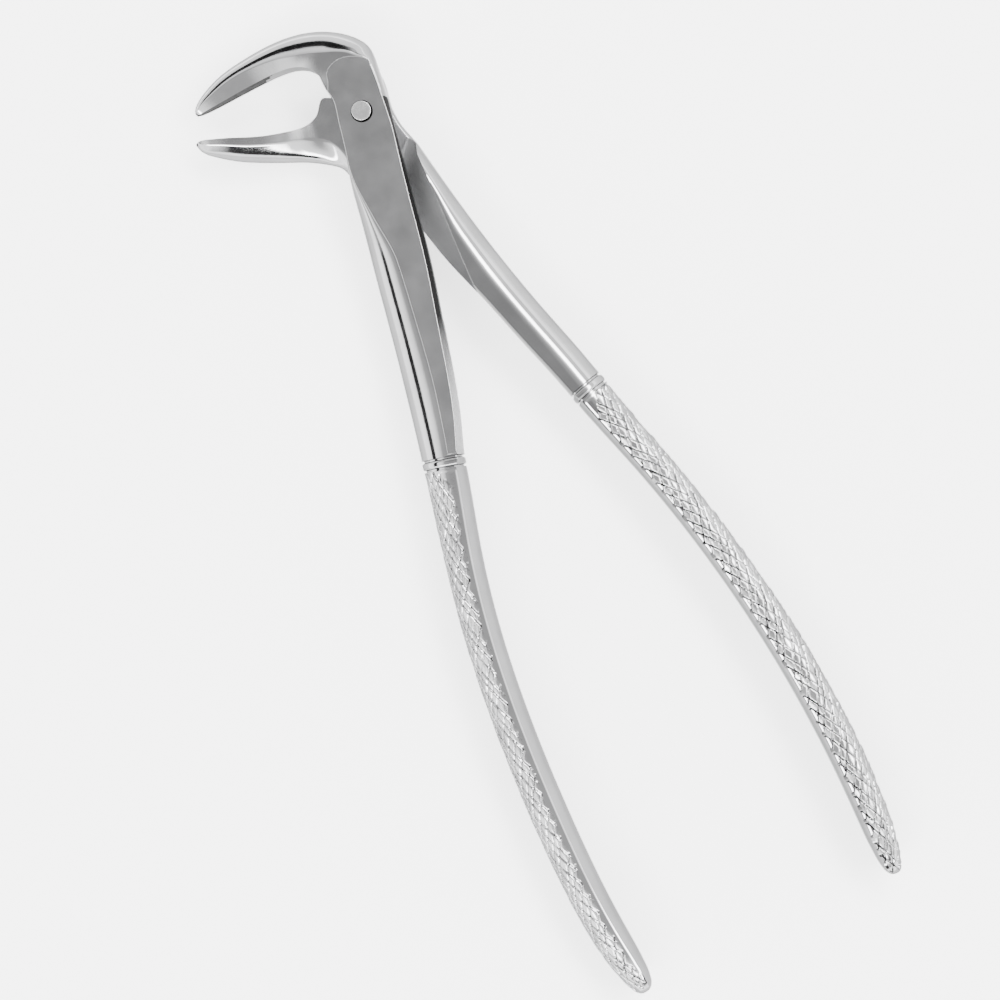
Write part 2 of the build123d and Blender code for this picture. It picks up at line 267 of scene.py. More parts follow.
def tube(rows, counts, grow=None):
    """Grid of points, rows by columns by 3, for the sections; grow moves each point outwards."""
    grid = []
    for i, row in enumerate(rows):
        x, z = section(row, counts)
        if grow is not None:
            dx = np.roll(x, -1) - np.roll(x, 1)
            dz = np.roll(z, -1) - np.roll(z, 1)
            size = np.maximum(np.hypot(dx, dz), 1e-9)
            x, z = x - grow[i] * dz / size, z + grow[i] * dx / size
        left = np.array(row[0:2])
        side = np.array(row[2:4]) - left
        side = side / np.hypot(*side)
        plan = left[None, :] + x[:, None] * side[None, :]
        grid.append(np.column_stack([plan, z]))
    return np.array(grid)


def grid_mesh(name, grid, paint):
    """Closed mesh from a grid; paint(row, column) arrays give each face's material slot."""
    rows, columns = grid.shape[:2]
    points = [tuple(p) for p in grid.reshape(-1, 3)]
    faces = []
    slots = []
    for i in range(rows - 1):
        for j in range(columns):
            k = (j + 1) % columns
            faces.append((i * columns + j, i * columns + k, (i + 1) * columns + k, (i + 1) * columns + j))
            slots.append(paint[i, j])
    for i in (0, rows - 1):
        points.append(tuple(grid[i].mean(axis=0)))
        centre = len(points) - 1
        for j in range(columns):
            k = (j + 1) % columns
            faces.append((i * columns + j, i * columns + k, centre))
            slots.append(POLISHED)
    return finish_mesh(name, points, faces, slots)


def finish_mesh(name, points, faces, slots):
    mesh = bpy.data.meshes.new(name)
    mesh.from_pydata([(x * MM, y * MM, z * MM) for x, y, z in points], [], faces)
    for material in MATERIALS:
        mesh.materials.append(material)
    mesh.polygons.foreach_set("material_index", slots)
    work = bmesh.new()
    work.from_mesh(mesh)
    bmesh.ops.remove_doubles(work, verts=work.verts, dist=2e-6)
    bmesh.ops.dissolve_degenerate(work, edges=work.edges, dist=1e-7)
    bmesh.ops.recalc_face_normals(work, faces=work.faces)
    work.to_mesh(mesh)
    work.free()
    obj = bpy.data.objects.new(name, mesh)
    bpy.context.scene.collection.objects.link(obj)
    return obj


FOOT_KNEE = 0.3                                # where the foot's curve bends, as a share of its size
TOP_RIM = 0.05
FACES_RIGHT = -0.8                             # the inward direction's X on a side that counts as facing +X


def prism(name, outline, low, high, slot, bevel=0.0, wall=None, foot=0.0):
    """Closed prism over an outline, its top edge bevelled and its foot drawn in.

    Sides that face +X get the wall slot, which paints shade on them. A ring just inside the bevel keeps the
    top evenly shaded.
    """
    outline = np.array(outline, dtype=float)
    n = len(outline)
    following = np.roll(outline, -1, axis=0)
    area = (outline[:, 0] * following[:, 1] - following[:, 0] * outline[:, 1]).sum() / 2
    if area < 0:
        outline = outline[::-1]
    ahead = np.roll(outline, -1, axis=0) - np.roll(outline, 1, axis=0)
    ahead = ahead / np.hypot(ahead[:, 0], ahead[:, 1])[:, None]
    inward = np.column_stack([-ahead[:, 1], ahead[:, 0]])
    rings = [(outline, low)]
    if foot:
        rings = [(outline + inward * foot, low),
                 (outline + inward * foot * FOOT_KNEE, low + foot * FOOT_KNEE),
                 (outline, low + foot)]
    if bevel:
        for angle in (0, 22.5, 45, 67.5, 90):
            c, s = math.cos(math.radians(angle)), math.sin(math.radians(angle))
            rings.append((outline + inward * bevel * (1 - c), high - bevel * (1 - s)))
        rings.append((outline + inward * (bevel + TOP_RIM), high))
    else:
        rings.append((outline, high))
    points = []
    for ring, z in rings:
        points += [(x, y, z) for x, y in ring]
    faces = [tuple(range(n))[::-1], tuple((len(rings) - 1) * n + i for i in range(n))]
    slots = [slot, slot]
    for r in range(len(rings) - 1):
        for i in range(n):
            k = (i + 1) % n
            faces.append((r * n + i, r * n + k, (r + 1) * n + k, (r + 1) * n + i))
            if bevel and 0 < r < len(rings) - 2:
                slots.append(POLISHED)
            # sides facing +X below y = 0 take the wall slot: painted shade of the joint's gap
            elif wall is not None and inward[i, 0] < FACES_RIGHT and outline[i, 1] < 0.0:
                slots.append(wall)
            else:
                slots.append(slot)
    return finish_mesh(name, points, faces, slots)


def lathe(name, profile, count, slot):
    """Closed solid of revolution about Z; the profile starts and ends on the axis, bottom first."""
    points = []
    for radius, z in profile:
        for i in range(count):
            angle = 2 * math.pi * i / count
            points.append((radius * math.cos(angle), radius * math.sin(angle), z))
    faces = []
    for r in range(len(profile) - 1):
        for i in range(count):
            k = (i + 1) % count
            faces.append((r * count + i, r * count + k, (r + 1) * count + k, (r + 1) * count + i))
    return finish_mesh(name, points, faces, [slot] * len(faces))


def combine(target, tool, operation):
    """Cuts or adds the tool to the target for good, then removes the tool."""
    modifier = target.modifiers.new("combine", "BOOLEAN")
    modifier.operation = operation
    modifier.solver = "EXACT"
    modifier.object = tool
    graph = bpy.context.evaluated_depsgraph_get()
    mesh = bpy.data.meshes.new_from_object(target.evaluated_get(graph))
    target.modifiers.clear()
    old = target.data
    target.data = mesh
    bpy.data.meshes.remove(old)
    mesh_of_tool = tool.data
    bpy.data.objects.remove(tool)
    bpy.data.meshes.remove(mesh_of_tool)


def join(target, others):
    work = bmesh.new()
    work.from_mesh(target.data)
    for other in others:
        work.from_mesh(other.data)
    work.to_mesh(target.data)
    work.free()
    for other in others:
        mesh = other.data
        bpy.data.objects.remove(other)
        bpy.data.meshes.remove(mesh)


def shade(obj, degrees):
    mesh = obj.data
    mesh.polygons.foreach_set("use_smooth", [True] * len(mesh.polygons))
    mesh.set_sharp_from_angle(angle=math.radians(degrees))
    mesh.update()


# ---- the ring between shank and grip ----
RING_DEEP = 0.4
RING_HALF = 0.6
RING_GROOVE = 0.45
RING_BEAD = 0.1                                # how far the bead stands out
CORE_LENGTH = 0.3                              # the core goes on this far inside the grip
TIP_LENGTH = 0.65                              # the beaks' tips are rounded over this length
TIP_INSET = 0.32

# ---- knurling ----
KNURL_ALONG = 2.8
KNURL_ACROSS = 1.75
KNURL_SPACING = 1 / math.hypot(1 / KNURL_ALONG, 1 / KNURL_ACROSS)
# deep cuts painted dark carry painted shade
TICK_DEPTH = 0.3                               # cuts deeper than this share of the groove can be dark
FRONT_STYLE = (0.2, 0.2, 0.1, 0.08, 0.14, 0.8, -0.1, 3)
BACK_STYLE = (0.2, 0.2, 0.12, -0.38, 0.4, 0.55, -0.5, 11)
GRIP_SPACING = 0.155
GRIP_SMOOTHING = 5.0
GRIP_END = 1.2                                 # the grip is rounded off over this length
GRIP_END_SHRINK = 0.5
STRIP_EDGE = 0.3


def knurl(u, v, end, rear, style):
    """Depth below the crests, mm, at u round the section from the front flat's edge and v along the grip.

    The style is the cuts' depth and half width, the depth of the plain strip, the lean of the pads (negative
    along the second set of cuts), their random tilt, the share of cuts painted dark as shade, the border and
    the random seed.
    """
    groove, half_width, step, lean, tilt, share, start, seed = style
    noise = np.random.RandomState(seed)
    heights = noise.rand(256, 256)
    tilts = noise.rand(256, 256)
    other_tilts = noise.rand(256, 256)
    depths = 0.55 + 0.8 * noise.rand(2, 256)
    first = v / KNURL_ALONG + u / KNURL_ACROSS
    second = v / KNURL_ALONG - u / KNURL_ACROSS
    first = first + 0.10 * np.sin(2.3 * first + seed) + 0.06 * np.sin(0.9 * v + 1.3 * u)
    second = second + 0.10 * np.sin(1.9 * second + 2 * seed) + 0.06 * np.sin(1.1 * v - 1.7 * u + 2)
    i = np.floor(first + 0.5).astype(int)
    j = np.floor(second + 0.5).astype(int)
    a = first - i
    b = second - j
    da = (0.5 - np.abs(a)) * KNURL_SPACING
    db = (0.5 - np.abs(b)) * KNURL_SPACING
    line_a = np.where(a > 0, i + 1, i)
    line_b = np.where(b > 0, j + 1, j)
    cut_a = groove * depths[0][line_a % 256] * np.clip(1 - da / half_width, 0, 1)
    cut_b = groove * depths[1][line_b % 256] * np.clip(1 - db / half_width, 0, 1)
    cut = np.maximum(cut_a, cut_b) + 0.5 * np.minimum(cut_a, cut_b)
    lean_a = tilts[i % 256, j % 256] - 0.5
    lean_b = other_tilts[i % 256, j % 256] - 0.5
    pad = 0.05 * heights[i % 256, j % 256] + 0.08 * (a * a + b * b) + tilt * (lean_a * a + lean_b * b)
    pad = pad + 0.3 * tilt * (np.abs(lean_a) + np.abs(lean_b)) + abs(lean) * ((a if lean > 0 else b) + 0.5)
    deep = np.maximum(pad, 0) + cut
    # nearly whole diamonds stand at the ragged border
    centre_u = 0.55 * u + 0.45 * (i - j) * KNURL_ACROSS / 2
    centre_v = 0.5 * v + 0.5 * (i + j) * KNURL_ALONG / 2
    border = np.maximum(start + 0.12 * np.sin(0.8 * v + seed), 3.4 - 0.7 * centre_v)
    inside = (centre_u > border) & (centre_u < rear - border)
    inside = inside & (centre_v > 1.3) & (centre_v < end - 1.0)
    chance = heights[line_a % 256, line_b % 256]
    # deep cuts picked by chance get painted shade
    shaded_ticks = inside & (np.minimum(cut_a, 1.6 * cut_b) > TICK_DEPTH * groove) & (chance < share)
    return np.where(inside, deep, step), np.where(shaded_ticks, 2, np.where(inside, 1, 0))


def grip(name, stations, inner_is_right, style):
    """Knurled grip as its own closed grid, which starts inside the ring's core."""
    spacing = GRIP_SPACING
    path = along(stations)
    total = path[-1]
    start = RING_HALF + RING_GROOVE
    first = start + 0.14
    even = int((total - GRIP_END - first) / spacing)
    at = np.concatenate([[start - 0.05, start - 0.03, start, start + 0.05],
                         np.linspace(first, total - GRIP_END, even),
                         total - GRIP_END + GRIP_END * np.sin(np.linspace(0.12, 1, 12) * math.pi / 2)])
    rows = smooth(interpolate(stations, at), at, GRIP_SMOOTHING)
    round_count, wall_count, flat_count = 46, 6, 8
    counts = (flat_count, wall_count, flat_count, round_count) if inner_is_right else \
             (flat_count, round_count, flat_count, wall_count)
    columns = sum(counts) + counts[1] + counts[3]
    cap = np.clip((at - (total - GRIP_END)) / GRIP_END, 0, 1)
    ending = 1 - GRIP_END_SHRINK * (1 - np.sqrt(np.clip(1 - cap ** 2, 0, 1)))
    grow = np.zeros((len(at), columns))
    zones = np.zeros((len(at), columns), dtype=int)
    for r, row in enumerate(rows):
        x, z = section(row, counts)
        pieces = np.hypot(np.roll(x, -1) - x, np.roll(z, -1) - z)
        arc = np.concatenate([[0.0], np.cumsum(pieces)[:-1]])
        ring = pieces.sum()
        if inner_is_right:
            # the rounded side is the last part of the section, so distance runs backwards from its end
            u = ring - arc
            u[:flat_count] = -arc[:flat_count]
            edge_rear = ring - arc[sum(counts[:3]) + counts[1]]
        else:
            u = arc - arc[flat_count]
            edge_rear = arc[flat_count + 2 * round_count] - arc[flat_count]
        v = np.full(columns, at[r])
        deep, inside = knurl(u, v, total, edge_rear, style)
        # the plain strip fades back to full height at the inner wall's edges
        flat_front = arc[flat_count] - arc[0]
        into = np.minimum(np.clip((u + flat_front) / STRIP_EDGE, 0, 1),
                          np.clip((edge_rear + flat_front - u) / STRIP_EDGE, 0, 1))
        into = into * np.clip((at[r] - start - 0.2) / 0.5, 0, 1)
        deep = np.where(inside > 0, deep, deep * into)
        grow[r] = -deep * (1 - cap[r])
        zones[r] = inside
    grow[0] = -RING_DEEP - 0.06
    grow[1] = -0.1
    grow[2] = -0.02
    grid = tube(rows, counts, grow)
    # the end is rounded off by drawing the last sections in towards their middles
    centres = np.column_stack([(rows[:, 0:2] + rows[:, 2:4]) / 2, np.full(len(rows), MID)])[:, None, :]
    grid = centres + (grid - centres) * ending[:, None, None]
    return grid_mesh(name, grid, np.choose(zones, (POLISHED, KNURLED, SHADED_GROOVE)))


def ring_grow(distance):
    """How far the surface stands out, mm, at a distance along the path from the ring's middle."""
    d = np.abs(distance)
    bead = RING_BEAD - 2 * RING_BEAD * (d / RING_HALF) ** 4
    t = np.clip((d - RING_HALF) / RING_GROOVE, 0, 1)
    # past the ring the core goes on at full depth, inside the grip
    t = np.where(distance > 0, np.minimum(t, 0.5), t)
    groove = -RING_DEEP * np.clip(np.sin(t * math.pi) * 1.6, 0, 1)
    return np.where(d < RING_HALF, bead, groove)


def shank(name, stations, ring_at, counts, areas):
    """Beak, joint and shank up to just past the ring, as one closed grid."""
    stop = ring_at + RING_HALF + RING_GROOVE + CORE_LENGTH
    at = np.concatenate([[0.0, 0.05, 0.14, 0.28, 0.45, 0.65, 0.9], np.arange(1.2, ring_at - 1.3, 0.33),
                         np.arange(ring_at - 1.25, stop, 0.06)])
    rows = interpolate(stations, at)
    columns = counts[0] + 2 * counts[1] + counts[2] + 2 * counts[3]
    tip = -TIP_INSET * (1 - np.clip(at / TIP_LENGTH, 0, 1)) ** 2
    grow = np.repeat((tip + ring_grow(at - ring_at))[:, None], columns, axis=1)
    grid = tube(rows, counts, grow)
    paint = np.full(grid.shape[:2], POLISHED)
    for start, end, first, last, slot in areas:
        paint[np.ix_((at > start) & (at < end), np.arange(first, last))] = slot
    return grid_mesh(name, grid, paint), rows, at


# ---- materials ----
def wire(tree, a, out, b, into):
    tree.links.new(a.outputs[out], b.inputs[into])


def noise(tree, coords, scale, detail):
    node = tree.nodes.new("ShaderNodeTexNoise")
    node.inputs["Scale"].default_value = scale
    node.inputs["Detail"].default_value = detail
    wire(tree, coords, "Object", node, "Vector")
    return node


def ramp(tree, source, stops):
    node = tree.nodes.new("ShaderNodeValToRGB")
    elements = node.color_ramp.elements
    while len(elements) < len(stops):
        elements.new(0.5)
    for element, (position, value) in zip(elements, stops):
        element.position = position
        element.color = (value, value, value, 1) if isinstance(value, float) else (*value, 1)
    wire(tree, source, 0, node, "Fac")
    return node


def bump(tree, source, strength, distance, before=None):
    node = tree.nodes.new("ShaderNodeBump")
    node.inputs["Strength"].default_value = strength
    node.inputs["Distance"].default_value = distance
    wire(tree, source, 0, node, "Height")
    if before:
        wire(tree, before, "Normal", node, "Normal")
    return node


def multiply(tree, colour, share):
    node = tree.nodes.new("ShaderNodeMix")
    node.data_type = "RGBA"
    node.blend_type = "MULTIPLY"
    node.inputs[0].default_value = 1.0
    tree.links.new(colour, node.inputs[6])
    tree.links.new(share, node.inputs[7])
    return node


def steel(name, colours, roughness, grain, grain_size, waves, wear_scale, steep_shade_share=0.45):
    """Bare steel: mottled colour, uneven roughness, a fine grain, slow unevenness of the surface and painted
    shade on steep faces.
    """
    material = bpy.data.materials.new(name)
    material.use_nodes = True
    tree = material.node_tree
    shader = tree.nodes["Principled BSDF"]
    shader.inputs["Metallic"].default_value = 1.0
    shader.inputs["Specular Tint"].default_value = (0.5, 0.5, 0.5, 1)
    coords = tree.nodes.new("ShaderNodeTexCoord")
    cloud = noise(tree, coords, wear_scale, 4.0)
    mottled = ramp(tree, cloud, [(0.3, colours[0]), (0.7, colours[1])])
    # painted shade: faces that lean away from straight up get a darker base colour than faces that look up
    facing = tree.nodes.new("ShaderNodeSeparateXYZ")
    wire(tree, tree.nodes.new("ShaderNodeNewGeometry"), "Normal", facing, "Vector")
    steep_shade = tree.nodes.new("ShaderNodeMapRange")
    steep_shade.interpolation_type = "SMOOTHSTEP"
    steep_shade.inputs["From Min"].default_value = 0.66
    steep_shade.inputs["From Max"].default_value = 0.78
    steep_shade.inputs["To Min"].default_value = steep_shade_share
    steep_shade.inputs["To Max"].default_value = 1.0
    wire(tree, facing, "Z", steep_shade, "Value")
    colour = multiply(tree, mottled.outputs["Color"], steep_shade.outputs[0])
    tree.links.new(colour.outputs[2], shader.inputs["Base Color"])
    wear = noise(tree, coords, wear_scale * 2.7, 6.0)
    wire(tree, ramp(tree, wear, [(0.3, roughness[0]), (0.72, roughness[1])]), "Color", shader, "Roughness")
    fine = noise(tree, coords, grain_size, 2.0)
    slow = noise(tree, coords, 210.0, 1.0)
    first = bump(tree, slow, waves, 0.0004)
    wire(tree, bump(tree, fine, grain, 0.00004, first), "Normal", shader, "Normal")
    return material


def span(tree, source, axis, low, high, first, last):
    node = tree.nodes.new("ShaderNodeMapRange")
    node.inputs["From Min"].default_value = low
    node.inputs["From Max"].default_value = high
    node.inputs["To Min"].default_value = first
    node.inputs["To Max"].default_value = last
    wire(tree, source, axis, node, "Value")
    return node


def paint_wall_shade(material):
    """Paints shade into the steel: dull and dark near the joint and towards the top of the wall, where the
    joint's gap is in shade.
    """
    tree = material.node_tree
    shader = tree.nodes["Principled BSDF"]
    shader.inputs["Specular IOR Level"].default_value = 0.0
    colour = shader.inputs["Base Color"].links[0].from_socket
    coords = next(node for node in tree.nodes if node.type == "TEX_COORD")
    split = tree.nodes.new("ShaderNodeSeparateXYZ")
    wire(tree, coords, "Object", split, "Vector")
    along_y = span(tree, split, "Y", -0.052, -0.038, 1.0, 0.05)
    along_z = span(tree, split, "Z", 0.0052, 0.0072, 0.6, 0.05)
    share = tree.nodes.new("ShaderNodeMath")
    share.operation = "MAXIMUM"
    tree.links.new(along_y.outputs[0], share.inputs[0])
    tree.links.new(along_z.outputs[0], share.inputs[1])
    tree.links.new(share.outputs[0], shader.inputs["Metallic"])
    tree.links.new(multiply(tree, colour, share.outputs[0]).outputs[2], shader.inputs["Base Color"])


# the wall slot paints shade on the joint's walls, the pin's hole and seat, and the recess's foot
POLISHED, SATIN, KNURLED, PIN, SHADED_WALL, GRIPPING, SHADED_GROOVE, RECESS = range(8)
MATERIALS = [
    steel("polished_steel", ((0.39, 0.39, 0.395), (0.46, 0.46, 0.465)),
          (0.06, 0.12), 0.10, 2600.0, 0.04, 160.0),
    steel("satin_steel", ((0.35, 0.35, 0.355), (0.43, 0.43, 0.435)),
          (0.19, 0.25), 0.35, 5200.0, 0.0, 130.0),
    steel("knurled_steel", ((0.36, 0.36, 0.365), (0.5, 0.5, 0.505)),
          (0.12, 0.24), 0.25, 3200.0, 0.12, 300.0, 0.42),
    steel("pin_steel", ((0.66, 0.66, 0.665), (0.8, 0.8, 0.805)),
          (0.22, 0.3), 0.25, 4200.0, 0.0, 400.0),
    # painted shade for the joint's walls
    steel("wall_steel_painted_shade", ((0.36, 0.36, 0.365), (0.44, 0.44, 0.445)),
          (0.2, 0.34), 0.3, 2600.0, 0.06, 260.0, 0.8),
    steel("gripping_steel", ((0.07, 0.07, 0.07), (0.15, 0.15, 0.15)),
          (0.25, 0.4), 0.4, 2600.0, 0.06, 300.0),
    # painted shade for the knurl's deepest cuts
    steel("groove_steel_painted_shade", ((0.03, 0.03, 0.032), (0.12, 0.12, 0.122)),
          (0.3, 0.45), 0.3, 2600.0, 0.06, 500.0),
    steel("recess_steel", ((0.19, 0.19, 0.195), (0.24, 0.24, 0.245)),
          (0.36, 0.46), 0.4, 4600.0, 0.0, 130.0),
]
# the wall material gets its painted shade
paint_wall_shade(MATERIALS[SHADED_WALL])
for dull in (GRIPPING, SHADED_GROOVE):
    dull_shader = MATERIALS[dull].node_tree.nodes["Principled BSDF"]
    dull_shader.inputs["Metallic"].default_value = 0.5
    dull_shader.inputs["Specular IOR Level"].default_value = 0.0


# ---- front half: left handle, upper leaf, upper beak ----
UNDER = 10 - PAD_DROP
FRONT_LEAF = [
    station((-4.05, 6.3), (6.0, 7.4), 4.6, 9.65, 5.3,
            (0.12, 0.1, 0.1, 1.0, 0.0, 0.0), (0.95, 0.5, 0.0, 0.0, 0.05, 0.0)),
    station((-3.8, 3.9), (5.55, 4.2), 3.6, UNDER, 5.1,
            (0.2, 0.1, 0.0, 1.0, 0.0, 0.0), (0.66, 0.4, 0.0, 0.0, 0.0, 0.0)),
    station((-4.45, 0.4), (5.0, 0.7), 2.0, UNDER, 5.0,
            (0.1, 0.1, 0.0, 1.0, 0.0, 0.0), (0.55, 0.3, 0.0, 0.1, 0.0, 0.0)),
    station((-5.1, -2.3), (4.4, -2.1), 0.8, UNDER, 5.0,
            (0.15, 0.2, 0.0, 0.9, 0.0, 0.0), (0.32, 0.3, 0.0, 0.5, 0.0, 0.0)),
    station((-5.85, -5.1), (3.72, -5.2), 0.0, UNDER, 5.0,
            (0.25, 0.3, 0.0, 0.5, 0.0, 0.0), (0.12, 0.1, 0.0, 1.0, 0.0, 0.0)),
]
LEAF_ARC = [(-3.0, 7.3), (-2.87, 8.0), (-2.6, 8.6), (-2.1, 9.15), (-1.4, 9.6), (-0.5, 9.88), (0.5, 9.95),
            (1.5, 9.8), (2.5, 9.45), (3.5, 8.93), (4.4, 8.3), (4.95, 7.8), (5.2, 7.35)]
FRONT_CLEAR = [(8, -40), (8, 9.4), (-11, 9.4), (-11, -12.6), (-5.6, -16), (-5.2, -22.5), (-4.4, -36),
               (-3.2, -40)]
PAD_ROOT = 7.6                                 # the ground face's solid starts at this height
FACE_TOP = 10.0
HOLE_RADIUS = 1.54
HOLE_TOP = 9.5
SEAT_RADIUS = 1.87
SEAT_RIM = 1.93
SEAT_OFFSET = (0.04, -0.11)                    # the seat is worn off its centre
ROUND_COUNT = 96
SHARP_ANGLE = 38
# the painted strip inside the upper beak runs out in steps, one for each few columns
STRIP_LENGTH = 14.0
STRIP_STEP = 0.8
STRIP_COLUMNS = 6
FRONT_COUNTS = (16, 12, 10, 18)
BACK_COUNTS = (16, 18, 10, 12)


def front_half():
    stations = [beak_station(row, False) for row in FRONT_BEAK] + FRONT_LEAF
    stations += [handle_station(row, True, PAD_DROP) for row in FRONT_SHANK]
    ring_number = len(stations)
    stations += [handle_station(row, True) for row in (FRONT_RING, *FRONT_GRIP[:2])]
    path = along(stations)
    ring_at = path[ring_number]
    top, right, bottom, left = FRONT_COUNTS
    wall_from = path[len(FRONT_BEAK) + 2]
    rear_from = top + 2 * right
    face_from = rear_from + bottom
    # the right side of the front body from the leaf down to the ring gets painted shade
    areas = [(wall_from, ring_at - 1.0, top, rear_from, SHADED_WALL), (25.0, ring_at, rear_from, face_from, SATIN)]
    for k in range(2 * left // STRIP_COLUMNS):
        column = face_from + STRIP_COLUMNS * k
        areas.append((0.4, STRIP_LENGTH + STRIP_STEP * k, column, column + STRIP_COLUMNS, GRIPPING))
    body, rows, at = shank("front_body", stations, ring_at, FRONT_COUNTS, areas)
    # the cut walls under the parting plane get painted shade
    combine(body, prism("front_clear", FRONT_CLEAR, -1.0, MID + PARTING_GAP, SHADED_WALL), "DIFFERENCE")
    # ground face of the leaf and shank, from the arc beside the beak down to the ring
    leaf_from = path[len(FRONT_BEAK)] + 0.6
    chosen = rows[(at > leaf_from) & (at < ring_at - 1.2)][::2]
    left = chosen[:, 0:2]
    side = chosen[:, 2:4] - left
    side = side / np.hypot(side[:, 0], side[:, 1])[:, None]
    left_edge = left + side * (chosen[:, 7:8] + 0.02)
    right_edge = chosen[:, 2:4] - side * (chosen[:, 13:14] + 0.02)
    outline = [tuple(p) for p in left_edge[::-1]] + LEAF_ARC + [tuple(p) for p in right_edge]
    combine(body, prism("front_face", outline, PAD_ROOT, FACE_TOP, SATIN, PAD_DROP, SHADED_WALL), "UNION")
    # the pin hole and the seat get painted shade on their walls, a dark ring round the pin
    hole = [(0, 4), (HOLE_RADIUS, 4), (HOLE_RADIUS, HOLE_TOP), (0, HOLE_TOP)]
    combine(body, lathe("pin_hole", hole, ROUND_COUNT, SHADED_WALL), "DIFFERENCE")
    profile = [(0, 9), (SEAT_RADIUS, 9), (SEAT_RADIUS, 9.92), (SEAT_RIM, FACE_TOP), (SEAT_RIM, 11), (0, 11)]
    seat = lathe("pin_seat", profile, ROUND_COUNT, SHADED_WALL)
    seat.data.transform(Matrix.Translation((SEAT_OFFSET[0] * MM, SEAT_OFFSET[1] * MM, 0)))
    combine(body, seat, "DIFFERENCE")
    grip_stations = [handle_station(row, True) for row in (FRONT_RING, *FRONT_GRIP)]
    handle = grip("front_grip", grip_stations, True, FRONT_STYLE)
    join(body, [handle])
    shade(body, SHARP_ANGLE)
    body.name = "front_half_steel"
    return body


# ---- back half: right handle, lower leaf, lower beak ----
BACK_TOP = MID - PARTING_GAP
FLOOR = BACK_TOP - 0.005
BACK_LEAF = [
    station((-7.6, -6.9), (-6.9, 4.7), 0.9, FLOOR, 2.9,
            (5.0, 3.0, 0.0, 0.0, 0.3, 0.0), (0.0, 0.0, 0.2, 1.0, 0.0, 0.0)),
    station((-7.2, -8.3), (-5.85, 6.0), 0.4, FLOOR, 2.8,
            (5.1, 1.5, 0.0, 0.0, 0.2, 0.0), (0.08, 0.0, 0.1, 1.0, 0.0, 0.0)),
    station((-7.0, -9.6), (-3.9, 5.5), 0.0, FLOOR, 2.6,
            (5.0, 0.6, 0.0, 0.1, 0.0, 0.0), (0.08, 0.1, 0.0, 1.0, 0.0, 0.0)),
    station((-6.7, -10.6), (0.8, 8.4), 0.0, FLOOR, 2.5,
            (3.0, 0.3, 0.0, 0.5, 0.0, 0.0), (0.15, 0.1, 0.0, 1.0, 0.0, 0.0)),
    station((-6.2, -11.4), (5.3, 6.2), 0.0, FLOOR, 2.5,
            (0.3, 0.1, 0.0, 1.0, 0.0, 0.0), (0.5, 0.4, 0.0, 0.2, 0.0, 0.0)),
    station((-5.4, -12.2), (4.95, 0.9), 0.0, FLOOR, 2.6,
            (0.1, 0.1, 0.0, 1.0, 0.0, 0.0), (0.6, 0.5, 0.0, 0.0, 0.0, 0.0)),
    station((-4.5, -13.2), (4.95, -4.2), 0.0, FLOOR, 2.8,
            (0.1, 0.1, 0.0, 1.0, 0.0, 0.0), (0.65, 0.6, 0.0, 0.0, 0.0, 0.0)),
    station((-3.9, -14.0), (5.5, -6.4), 0.0, FLOOR, 3.0,
            (0.1, 0.1, 0.0, 1.0, 0.0, 0.0), (0.75, 0.7, 0.0, 0.0, 0.0, 0.0)),
    station((-3.3, -14.8), (6.05, -8.4), 0.0, 6.2, 3.6,
            (0.1, 0.1, 0.0, 1.0, 0.0, 0.0), (1.1, 0.8, 0.0, 0.0, 0.0, 0.0)),
    station((-2.5, -15.9), (6.5, -11.0), 0.0, 10.0, 5.0,
            (0.1, 0.1, 0.0, 1.0, 0.0, 0.0), (2.0, 1.1, 0.0, 0.0, 0.0, 0.0)),
    station((-0.8, -19.2), (7.45, -17.2), 0.0, 10.0, 5.0,
            (0.3, 0.2, 0.0, 1.0, 0.0, 0.0), (2.4, 1.8, 0.0, 0.0, 0.0, 0.0)),
]
BACK_CLEAR = [(-8.6, -40), (-8.6, 9.4), (9, 9.4), (9, -7.0), (5.9, -8.2), (5.4, -11), (5.25, -16.2),
              (5.05, -21.8), (4.55, -28.8), (4.2, -36.4), (3.2, -40)]
CLEAR_TOP = 12.0
RECESS_FOOT = 0.35
BACK_HOLE_RADIUS = 1.51
WALL_INSET = 0.35                              # the grip's inner wall leans back this far from the flats
ROUNDED_WALL = 0.35                            # how far that side is a wall, 1, and not rounded, 0
WALL_INSET_SHARE = 0.4                         # and never more than this share of the front flat


